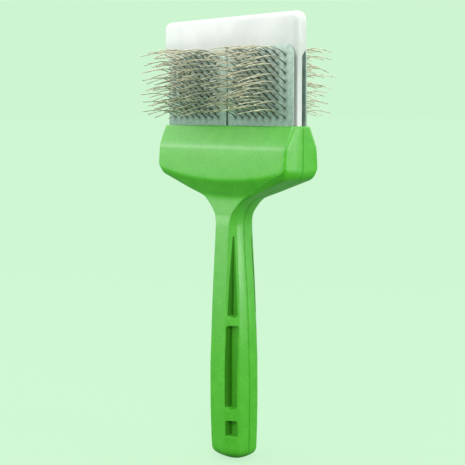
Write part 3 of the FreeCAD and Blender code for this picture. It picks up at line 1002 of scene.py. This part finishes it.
    def skin(self) -> bpy.types.Object:
        """Make the outer surface: a grid whose rows are laid on the sections.

        Returns:
            The surface, open at the end, the top and the parting plane.
        """
        heights = self.heights()
        rows = [self.section(z) for z in heights]
        columns = len(rows[0])
        deselect_all()
        bpy.ops.mesh.primitive_grid_add(x_subdivisions=columns - 1, y_subdivisions=len(rows) - 1, size=1)
        piece = bpy.context.object
        piece.name = self.name + "_moulding"
        for index, vert in enumerate(piece.data.vertices):
            row, column = divmod(index, columns)
            point = rows[row][column]
            vert.co = Vector((point.x, point.y, heights[row])) * MM
        return piece

    def close(self, piece: bpy.types.Object) -> None:
        """Close the end, the top and the parting plane of the skin with flat faces.

        Args:
            piece: The skin.
        """
        near = 1e-6
        for level in (0.0, self.mouth_top * MM):
            with editing(piece):
                select_where(piece, Element.EDGE,
                             lambda e: e.is_boundary and all(abs(v.co.z - level) < near for v in e.verts))
                bpy.ops.mesh.edge_face_add()
        with editing(piece):
            select_where(piece, Element.EDGE, lambda e: e.is_boundary)
            bpy.ops.mesh.edge_face_add()
            bpy.ops.mesh.select_all(action="SELECT")
            bpy.ops.mesh.normals_make_consistent(inside=False)

    def cut_mouth(self, piece: bpy.types.Object) -> None:
        """Cut the slot that the blade and the pads stand in, and the blade's round channel.

        Args:
            piece: The closed shell.
        """
        slot = add_box("mouth_cutter", (-self.mouth_half, -self.mouth_depth, self.mouth_floor),
                       (self.mouth_half, self.mouth_depth, self.cut_top))
        round_edges(slot, self.mouth_corner, 4, lambda e: runs_along(e, 2))
        join_solids(piece, slot, Join.CUT)
        channel = add_rod("channel_cutter", self.channel_radius, self.channel_length, self.channel_height)
        join_solids(piece, channel, Join.CUT)

    def cut_pockets(self, piece: bpy.types.Object) -> None:
        """Cut three grip pockets in each slanting facet.

        Args:
            piece: The closed shell.
        """
        for side in (-1, 1):
            cutters = [self.plain_cutter(pocket) for pocket in self.plain_pockets] + [self.pointed_cutter()]
            for cutter in cutters:
                if side < 0:
                    self.put_on_left(cutter)
                join_solids(piece, cutter, Join.CUT)

    @staticmethod
    def through_edges(level: float, above: bool) -> Callable[[bmesh.types.BMEdge], bool]:
        """Make a test for the edges that go in through the wall at one end of a pocket.

        Args:
            level: A height in millimetres between the pocket's ends.
            above: Whether the upper end is meant.

        Returns:
            The test.
        """
        least_wall = 5.0

        def test(edge: bmesh.types.BMEdge) -> bool:
            """Whether an edge is at that end and goes in deeper than the floor's fall.

            Args:
                edge: The edge.

            Returns:
                Whether it is and does.
            """
            near, far = (vert.co for vert in edge.verts)
            at_end = all((co.z > level * MM) == above for co in (near, far))
            return at_end and abs(near.y - far.y) > least_wall * MM

        return test

    def block(self, pocket: Pocket, inner: float, outer: float, floor: float) -> bpy.types.Object:
        """Make the block that a pocket's cutter starts from.

        Args:
            pocket: The pocket.
            inner: Distance of its inner wall from the middle.
            outer: Distance of its outer edge from the middle.
            floor: Distance of its floor from the parting plane.

        Returns:
            The block.
        """
        return add_box("pocket_cutter", (inner, -self.cutter_reach, pocket.low),
                       (outer, -floor, pocket.high))

    def sink_floor(self, cutter: bpy.types.Object, middle: float, fall: float) -> None:
        """Let a pocket's floor fall outwards, in edit mode.

        Args:
            cutter: The pocket's cutter.
            middle: Distance across that divides its inner from its outer corners.
            fall: How much nearer to the parting plane the floor's outer side is.
        """
        select_where(cutter, Element.CORNER,
                     lambda v: v.co.y > -self.cutter_reach / 2 * MM and v.co.x > middle * MM)
        bpy.ops.transform.translate(value=(0, fall * MM, 0))

    def plain_cutter(self, pocket: Pocket) -> bpy.types.Object:
        """A cutter for a pocket whose floor falls outwards, with rounded ends.

        Args:
            pocket: The pocket.

        Returns:
            The cutter for the right side.
        """
        cutter = self.block(pocket, self.pocket_inner, self.pocket_outer, self.pocket_floor)
        with editing(cutter):
            self.sink_floor(cutter, (self.pocket_inner + self.pocket_outer) / 2, self.pocket_fall)
        middle = (pocket.low + pocket.high) / 2
        round_edges(cutter, pocket.rounding, 6, self.through_edges(middle, above=False))
        round_edges(cutter, self.pocket_top_rounding, 3, self.through_edges(middle, above=True))
        return cutter

    def pointed_cutter(self) -> bpy.types.Object:
        """A cutter for the pocket that runs out in a point under the head.

        Returns:
            The cutter for the right side.
        """
        pocket = self.pointed_pocket
        cutter = self.block(pocket, self.pointed_inner, self.pointed_outer, self.pointed_floor)
        across, level = (self.pointed_inner + self.pointed_outer) / 2, (pocket.low + pocket.high) / 2
        with editing(cutter):
            select_where(cutter, Element.CORNER, lambda v: v.co.z > level * MM and v.co.x > across * MM)
            bpy.ops.transform.translate(value=(-self.point_narrowing * MM, 0, 0))
            select_where(cutter, Element.CORNER, lambda v: v.co.z > level * MM)
            bpy.ops.transform.translate(value=(self.point_shift * MM, 0, 0))
            self.sink_floor(cutter, across, self.pointed_fall)
        round_edges(cutter, pocket.rounding, 6, self.through_edges(level, above=False))
        return cutter

    @staticmethod
    def put_on_left(cutter: bpy.types.Object) -> None:
        """Mirror a cutter made for the right side to the left.

        Args:
            cutter: The cutter.
        """
        with editing(cutter):
            bpy.ops.mesh.select_all(action="SELECT")
            bpy.ops.transform.resize(value=(-1, 1, 1), center_override=(0, 0, 0))
            bpy.ops.mesh.flip_normals()

    def mark_pockets(self, piece: bpy.types.Object) -> None:
        """Mark how much painted shade the faces inside the grip pockets get; the material darkens their
        colour by it.

        Args:
            piece: The shell with its pockets cut, front side.
        """
        # Painted shade: the inner wall, which lies in shade, gets the full mark, the rest of the pocket
        # less.
        inner_wall_shade, rest_of_pocket_shade, steep = 1.0, 0.22, 0.8
        mark = piece.data.attributes.new("sunk", "FLOAT", "FACE")
        for face in piece.data.polygons:
            if self.in_pocket(abs(face.center.x) / MM, abs(face.center.y) / MM, face.center.z / MM):
                inner_wall = face.normal.x * face.center.x > 0 and abs(face.normal.x) > steep
                mark.data[face.index].value = inner_wall_shade if inner_wall else rest_of_pocket_shade

    def in_pocket(self, across: float, depth: float, z: float) -> bool:
        """Whether a point of the surface is inside a grip pocket.

        Args:
            across: Distance from the middle.
            depth: Distance from the parting plane. The pockets stay outside the least of it.
            z: The height.

        Returns:
            Whether it is between a pocket's walls and beneath the outer skin.
        """
        play, least_depth, skin_play = 0.1, 4.0, 0.12
        beside = self.pocket_inner - play < across < self.pocket_outer and depth > least_depth
        level = any(pocket.low < z < pocket.high for pocket in (*self.plain_pockets, self.pointed_pocket))
        return beside and level and depth <= self.skin_depth(across, z) - skin_play

    def skin_depth(self, across: float, z: float) -> float:
        """Distance of the outer skin from the parting plane.

        Args:
            across: Distance from the middle.
            z: The height.

        Returns:
            The distance, or 0 where there is no skin.
        """
        points = self.half_section(z)
        for near, far in zip(points, points[1:]):
            if far.x <= across <= near.x and near.x > far.x:
                share = (near.x - across) / (near.x - far.x)
                return -(near.y + share * (far.y - near.y))
        return 0.0

    def build(self, material: bpy.types.Material) -> None:
        """Make the shell and put it in its CAD node's place. The rear one is a front one turned round.

        Args:
            material: The shell's finish.
        """
        piece = self.skin()
        self.close(piece)
        self.cut_mouth(piece)
        self.cut_pockets(piece)
        apply_modifier(piece, "BEVEL", width=self.edge_break * MM, segments=2, limit_method="ANGLE",
                       angle_limit=math.radians(self.sharp_angle), use_clamp_overlap=True)
        self.mark_pockets(piece)
        if self.face is Face.REAR:
            piece.data.transform(Matrix.Rotation(math.pi, 4, "Z"))
        clean_up(piece, smooth_angle=32)
        hand_over(piece, "handle", self.name, material)


# ---------------------------------------------------------------------------------------------------------
# Blade
# ---------------------------------------------------------------------------------------------------------
@dataclass
class Blade:
    """The flexible blade: root bead, web and the thick bulge along the top."""

    web_half: float = 45.0
    web_depth: float = 1.5
    web_overlap: float = 2.0
    web_rounding: float = 0.6
    bulge_half: float = 48.4
    bulge_shift: float = 1.9
    bulge_depth: float = 3.4
    foot: float = 189.4
    shoulder: float = 193.8
    top: float = 210.4
    corner_radius: float = 3.9
    edge_radius: float = 2.5
    bead_radius: float = 5.6
    bead_half: float = 44.7
    pivot: float = 154.2
    slot_inner: float = 2.7
    slot_outer: float = 4.5
    slot_half: float = 46.0
    slot_floor: float = 152.9
    cut_top: float = 162.0

    def bulge(self) -> bpy.types.Object:
        """Make the bulge: a rounded slab with its foot drawn in to the web.

        Returns:
            The bulge in its place.
        """
        play = 0.1
        near_top, near_foot = (self.top - play) * MM, (self.foot + play) * MM
        piece = add_box("flex_blade", (-self.bulge_half, -self.bulge_depth, self.foot),
                        (self.bulge_half, self.bulge_depth, self.top))
        round_edges(piece, self.corner_radius, 10,
                    lambda e: runs_along(e, 1) and e.verts[0].co.z > near_top)
        round_edges(piece, self.edge_radius, 6, lambda e: e.verts[0].co.y * e.verts[1].co.y > 0
                    and any(v.co.z >= near_foot for v in e.verts))
        with editing(piece):
            bpy.ops.mesh.select_all(action="SELECT")
            bpy.ops.mesh.bisect(plane_co=(0, 0, self.shoulder * MM), plane_no=(0, 0, 1))
            draw_in = self.bulge_depth - self.web_depth
            select_where(piece, Element.CORNER, lambda v: v.co.z < near_foot)
            bpy.ops.transform.resize(value=((self.bulge_half - draw_in) / self.bulge_half,
                                            self.web_depth / self.bulge_depth, 1),
                                     center_override=(0, 0, self.foot * MM))
        piece.data.transform(Matrix.Translation((-self.bulge_shift * MM, 0, 0)))
        return piece

    def build(self, material: bpy.types.Material) -> None:
        """Make the blade and put it in its CAD node's place.

        Args:
            material: The blade's finish.
        """
        piece = self.bulge()
        web = add_box("web", (-self.web_half, -self.web_depth, self.pivot),
                      (self.web_half, self.web_depth, self.foot + self.web_overlap))
        round_edges(web, self.web_rounding, 3, lambda e: runs_along(e, 2))
        join_solids(piece, web, Join.ADD)
        bead = add_rod("bead", self.bead_radius, 2 * self.bead_half, self.pivot)
        join_solids(piece, bead, Join.ADD)
        for near, far in ((-self.slot_outer, -self.slot_inner), (self.slot_inner, self.slot_outer)):
            slot = add_box("leaf_slot", (-self.slot_half, near, self.slot_floor),
                           (self.slot_half, far, self.cut_top))
            join_solids(piece, slot, Join.CUT)
        clean_up(piece, smooth_angle=35)
        hand_over(piece, "core", "flex_core", material)


# ---------------------------------------------------------------------------------------------------------
# Pads and pins
# ---------------------------------------------------------------------------------------------------------
@dataclass
class PinPad:
    """One pad of card cloth with its rows of bent wires, and the springy leaf behind it.

    Sizes are in millimetres and angles in degrees. A spread is the standard deviation between wires.
    """

    corner: Corner
    inner: float = 0.35
    outer: float = 45.0
    bottom: float = 159.0
    top: float = 195.9
    back: float = 3.8
    thickness: float = 0.6
    solid_share: float = 0.9
    corner_radius: float = 5.0
    cell: float = 0.6
    gather: float = 0.45
    swell: float = 0.05
    swell_across: float = 4.1
    swell_up: float = 5.3
    dimple_depth: float = 0.16
    dimple_reach: float = 0.62
    # Reach of the painted shadow round each wire.
    dark_reach: float = 0.85
    roll_depth: float = 0.12
    roll_reach: float = 0.5
    pin_first: float = 6.2
    pin_pitch: float = 4.8
    row_first: float = 163.5
    row_pitch: float = 1.97
    rows: int = 16
    root_depth: float = 0.3
    root_spread: float = 0.12
    wire_radius: float = 0.23
    wire_sides: int = 5
    wire_steps: int = 9
    wire_length: float = 21.0
    wire_length_range: float = 0.04
    rise: float = 35.0
    top_row_rise: float = 20.0
    rise_spread: float = 2.5
    drop: float = 10.0
    drop_spread: float = 4.0
    yaw_spread: float = 3.0
    bend_start: float = 0.05
    bend_share: float = 0.62

    def places(self) -> list[tuple[float, float]]:
        """Places of the wires' roots: long rows of 8 between short rows of 6.

        Returns:
            Distance from the middle and height of each root.
        """
        found = []
        for row in range(self.rows):
            staggered = row % 2
            for index in range(6 if staggered else 8):
                across = self.pin_first + self.pin_pitch * (index + staggered / 2)
                found.append((across, self.row_first + row * self.row_pitch))
        return found

    def outward(self, across: float, depth: float, z: float) -> Vector:
        """A point of this pad in metres, from its distance across, depth from the middle and height."""
        return Vector((self.corner.side * across, self.corner.face.value * depth, z)) * MM

    def cloth(self, rng: random.Random, material: bpy.types.Material) -> None:
        """Make the pad: a thin sheet, dimpled round each wire and a little uneven.

        Args:
            rng: Where the unevenness comes from.
            material: The cloth's finish.
        """
        deselect_all()
        width, height = self.outer - self.inner, self.top - self.bottom
        bpy.ops.mesh.primitive_grid_add(x_subdivisions=round(width / self.cell),
                                        y_subdivisions=round(height / self.cell), size=1)
        piece = bpy.context.object
        piece.name = self.corner.body + "_card_cloth"
        places = self.places()
        turn = 6.28
        phase_across, phase_up, *_ = [rng.uniform(0, turn) for _ in range(4)]
        # Painted shadow round each wire's hole: the mark that the cloth's material darkens by.
        shallow, most_dark, dark = 0.05, 0.85, 0.9
        drawn_in = piece.data.attributes.new("drawn_in", "FLOAT", "POINT")
        for vert in piece.data.vertices:
            u, v = vert.co.x + 0.5, vert.co.y + 0.5
            across, z = self.round_corner(self.inner + u * width, self.bottom + v * height)
            across += self.gather * (1 - v) ** 3 * (1 - u) ** 4
            nearest = min((across - a) ** 2 + (z - h) ** 2 for a, h in places)
            dimple = math.exp(-nearest / (2 * self.dimple_reach ** 2))
            swell = (self.swell * math.sin(across / self.swell_across + phase_across)
                     * math.sin(z / self.swell_up + phase_up))
            edge = min(across - self.inner, self.outer - across, self.top - z)
            roll = self.roll_depth * math.exp(-max(edge, 0.0) / self.roll_reach)
            drawn_in.data[vert.index].value = min(
                most_dark, dark * math.exp(-nearest / (2 * self.dark_reach ** 2)))
            depth = self.back + self.thickness - shallow + swell - self.dimple_depth * dimple - roll
            vert.co = self.outward(across, min(depth, self.back + self.thickness), z)
        apply_modifier(piece, "SOLIDIFY", thickness=self.thickness * MM * self.solid_share,
                       offset=float(self.corner.side * self.corner.face.value))
        clean_up(piece, smooth_angle=50)
        hand_over(piece, self.corner.body, self.corner.body + "_pad", material)

    def round_corner(self, across: float, z: float) -> tuple[float, float]:
        """Draw a point of the sheet in to its rounded outer upper corner.

        Args:
            across: Its distance from the middle.
            z: Its height.

        Returns:
            The new distance and height.
        """
        centre = Vector((self.outer - self.corner_radius, self.top - self.corner_radius))
        step = Vector((across, z)) - centre
        if step.x <= 0 or step.y <= 0:
            return across, z
        return tuple(centre + step.normalized() * max(step.x, step.y))

    def wire_path(self, rng: random.Random, z: float) -> list[Vector]:
        """Centreline of one wire from its root: a rising root, a bend and a falling end.

        Args:
            rng: Where the small differences between wires come from.
            z: Height of the wire's root: the top row is pressed flatter.

        Returns:
            Points as millimetres aside, out and up.
        """
        top_row = z > self.row_first + (self.rows - 1.5) * self.row_pitch
        rise = math.radians((self.top_row_rise if top_row else self.rise) + rng.gauss(0, self.rise_spread))
        drop = math.radians(self.drop + rng.gauss(0, self.drop_spread))
        yaw = math.radians(rng.gauss(0, self.yaw_spread))
        length = self.wire_length * (1 + rng.uniform(-self.wire_length_range, self.wire_length_range))
        points = [Vector((0.0, 0.0, 0.0))]
        for k in range(self.wire_steps):
            along = (k + 0.5) / self.wire_steps
            turned = min(1.0, max(0.0, (along - self.bend_start) / self.bend_share))
            heading = rise - (drop + rise) * turned
            step = Vector((math.cos(heading) * math.sin(yaw), math.cos(heading) * math.cos(yaw),
                           math.sin(heading)))
            points.append(points[-1] + step * (length / self.wire_steps))
        return points

    def add_wire(self, mesh: bmesh.types.BMesh, path: Sequence[Vector]) -> None:
        """Add one wire to a mesh: a tube along its centreline, closed at both ends.

        Args:
            mesh: The mesh.
            path: The centreline in metres.
        """
        layer = mesh.verts.layers.float.get("along") or mesh.verts.layers.float.new("along")
        rings = []
        for index, point in enumerate(path):
            before, after = path[max(0, index - 1)], path[min(len(path) - 1, index + 1)]
            along = (after - before).normalized()
            across = along.cross(Vector((0, 0, 1))).normalized()
            over = across.cross(along)
            ring = []
            for k in range(self.wire_sides):
                turn = 2 * math.pi * k / self.wire_sides
                vert = mesh.verts.new(point + (across * math.cos(turn) + over * math.sin(turn))
                                      * self.wire_radius * MM)
                vert[layer] = index / (len(path) - 1)
                ring.append(vert)
            rings.append(ring)
        for low, high in zip(rings, rings[1:]):
            for k in range(self.wire_sides):
                after = (k + 1) % self.wire_sides
                mesh.faces.new((low[k], low[after], high[after], high[k]))
        mesh.faces.new(rings[0])
        mesh.faces.new(list(reversed(rings[-1])))

    def wires(self, rng: random.Random, material: bpy.types.Material) -> None:
        """Make all the wires of the pad, each a little different.

        Args:
            rng: Where the differences come from.
            material: The wires' finish.
        """
        mesh = bmesh.new()
        for across, z in self.places():
            start = self.outward(across + rng.gauss(0, self.root_spread), self.back + self.root_depth,
                                 z + rng.gauss(0, self.root_spread))
            self.add_wire(mesh, [start + Vector((p.x, self.corner.face.value * p.y, p.z)) * MM
                                 for p in self.wire_path(rng, z)])
        data = bpy.data.meshes.new(self.corner.body + "_staple_wires")
        mesh.to_mesh(data)
        mesh.free()
        piece = bpy.data.objects.new(data.name, data)
        bpy.context.scene.collection.objects.link(piece)
        clean_up(piece, smooth_angle=80)
        hand_over(piece, self.corner.body, self.corner.body + "_pins", material)

    def build(self, cloth: bpy.types.Material, wire: bpy.types.Material,
              leaf: bpy.types.Material) -> None:
        """Make the pad and its wires, the same on every run, and dress the CAD leaf behind them.

        Args:
            cloth: The pad's finish.
            wire: The wires' finish.
            leaf: The leaf's finish.
        """
        rng = random.Random(self.corner.name)
        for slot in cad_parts[self.corner.body + "_leaf"].material_slots:
            slot.material = leaf
        self.cloth(rng, cloth)
        self.wires(rng, wire)


# ---------------------------------------------------------------------------------------------------------
# Studio
# ---------------------------------------------------------------------------------------------------------
@dataclass(frozen=True)
class SoftBox:
    """One soft light: its place in metres, its width and height, and its power in watts."""

    name: str
    place: Point
    size: tuple[float, float]
    power: float


@dataclass
class Studio:
    """Floor, soft light and camera, in metres. The room's levels are strengths by height and heading."""

    paper: str = "cef5d1"
    bounce: str = "6e8a6f"
    glow: float = 0.88
    sheet_shade: float = 0.7
    sheet_size: float = 60.0
    sheet_height: float = -0.0002
    boxes: tuple[SoftBox, ...] = (
        SoftBox("left_box", (-0.58, -0.5, 0.27), (0.4, 0.32), 0.8),
        SoftBox("left_strip", (-0.62, -0.47, 0.24), (0.36, 0.05), 0.5),
        SoftBox("right_box", (0.71, 0.24, 0.2), (0.22, 0.28), 2.0),
        SoftBox("high_box", (0.59, -0.3, 0.59), (0.24, 0.18), 2.2))
    aim: Point = (0.0, 0.0, 0.12)
    overhead: float = 1.85
    above: float = 1.7
    level: float = 1.33
    underneath: float = 0.28
    dark_side: float = 0.65
    dark_heading: float = -6.0
    camera_place: Point = (0.40895, -0.34642, 0.1659)
    camera_turn: Point = (83.95, 0.0, 49.81)
    lens: float = 87.5
    sensor: float = 36.0
    nearest: float = 0.01

    def floor(self) -> None:
        """A wide pale sheet with only a faint shadow on it."""
        deselect_all()
        bpy.ops.mesh.primitive_plane_add(size=self.sheet_size, location=(0, 0, self.sheet_height))
        piece = bpy.context.object
        piece.name = "studio_floor"
        material, tree, _, _ = new_material("studio_paper")
        paper = linear(self.paper)
        shaded = [channel * self.sheet_shade for channel in paper[:3]] + [1.0]
        lit = add_node(tree, "ShaderNodeBsdfDiffuse", {"Color": shaded})
        glow = add_node(tree, "ShaderNodeEmission", {"Color": paper})
        seen = add_node(tree, "ShaderNodeMixShader", {0: self.glow},
                        {1: lit.outputs[0], 2: glow.outputs[0]})
        dull = add_node(tree, "ShaderNodeBsdfDiffuse", {"Color": linear(self.bounce)})
        part_by_ray(tree, "Material Output", dull.outputs[0], seen.outputs[0])
        piece.data.materials.append(material)

    def lights(self) -> None:
        """A soft box and a strip at the left, a box at the right and one high in front."""
        for box in self.boxes:
            data = bpy.data.lights.new(box.name, "AREA")
            data.shape = "RECTANGLE"
            data.size, data.size_y = box.size
            data.energy = box.power
            light = bpy.data.objects.new(box.name, data)
            light.location = box.place
            to_aim = Vector(self.aim) - Vector(box.place)
            light.rotation_euler = to_aim.to_track_quat("-Z", "Y").to_euler()
            bpy.context.scene.collection.objects.link(light)

    def room(self) -> None:
        """An even pale room, lighter above and darker on one side, seen as plain paper."""
        world = bpy.data.worlds.new("pale_room")
        world.use_nodes = True
        tree = world.node_tree
        room = tree.nodes["Background"]
        direction = add_node(tree, "ShaderNodeTexCoord").outputs["Generated"]
        height = add_node(tree, "ShaderNodeSeparateXYZ", links={0: direction})
        share = add_node(tree, "ShaderNodeMapRange", {"From Min": -1.0, "From Max": 1.0},
                         {"Value": height.outputs["Z"]})
        half_strength = add_node(tree, "ShaderNodeFloatCurve", links={"Value": share.outputs["Result"]})
        set_curve(half_strength, [(0.0, self.underneath / 2), (0.5, self.level / 2),
                                  (0.64, self.above / 2), (1.0, self.overhead / 2)])
        strength = add_node(tree, "ShaderNodeMath", {"operation": "MULTIPLY", 1: 2.0},
                            {0: half_strength.outputs["Value"]})
        heading = math.radians(self.dark_heading)
        facing = add_node(tree, "ShaderNodeVectorMath",
                          {"operation": "DOT_PRODUCT", 1: (math.cos(heading), math.sin(heading), 0.0)},
                          {0: direction})
        dim = add_node(tree, "ShaderNodeMapRange",
                       {"From Min": 0.0, "From Max": 0.9, "To Min": 1.0, "To Max": 1 - self.dark_side,
                        "interpolation_type": "SMOOTHSTEP"}, {"Value": facing.outputs["Value"]})
        shaded = add_node(tree, "ShaderNodeMath", {"operation": "MULTIPLY"},
                          {0: strength.outputs[0], 1: dim.outputs["Result"]})
        tree.links.new(shaded.outputs[0], room.inputs["Strength"])
        room.inputs["Color"].default_value = (1.0, 1.0, 1.0, 1.0)
        paper = add_node(tree, "ShaderNodeBackground", {"Color": linear(self.paper), "Strength": 1.0})
        part_by_ray(tree, "World Output", room.outputs[0], paper.outputs[0])
        bpy.context.scene.world = world
        bpy.context.scene.view_settings.view_transform = "Standard"

    def camera(self) -> None:
        """The camera at the viewing angle."""
        data = bpy.data.cameras.new("camera")
        data.lens = self.lens
        data.sensor_width = self.sensor
        data.clip_start = self.nearest
        camera = bpy.data.objects.new("camera", data)
        camera.location = self.camera_place
        camera.rotation_euler = [math.radians(angle) for angle in self.camera_turn]
        bpy.context.scene.collection.objects.link(camera)
        bpy.context.scene.camera = camera

    def build(self) -> None:
        """Set up the studio."""
        self.floor()
        self.lights()
        self.room()
        self.camera()


def write_sizes() -> None:
    """Bring the objects' placements up to date."""
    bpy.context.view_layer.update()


def main() -> None:
    """Build the brush and the studio."""
    logging.basicConfig(level=logging.INFO, format="%(message)s")
    Studio().build()
    green = MouldedPlastic().make()
    for face in Face:
        Shell(face).build(green)
    Blade().build(MilkyPlastic().make())
    cloth, wire, leaf = RubberCloth().make(), StapleWire().make(), SpringPlastic().make()
    for corner in Corner:
        PinPad(corner).build(cloth, wire, leaf)
    write_sizes()


if __name__ == "__main__":
    main()
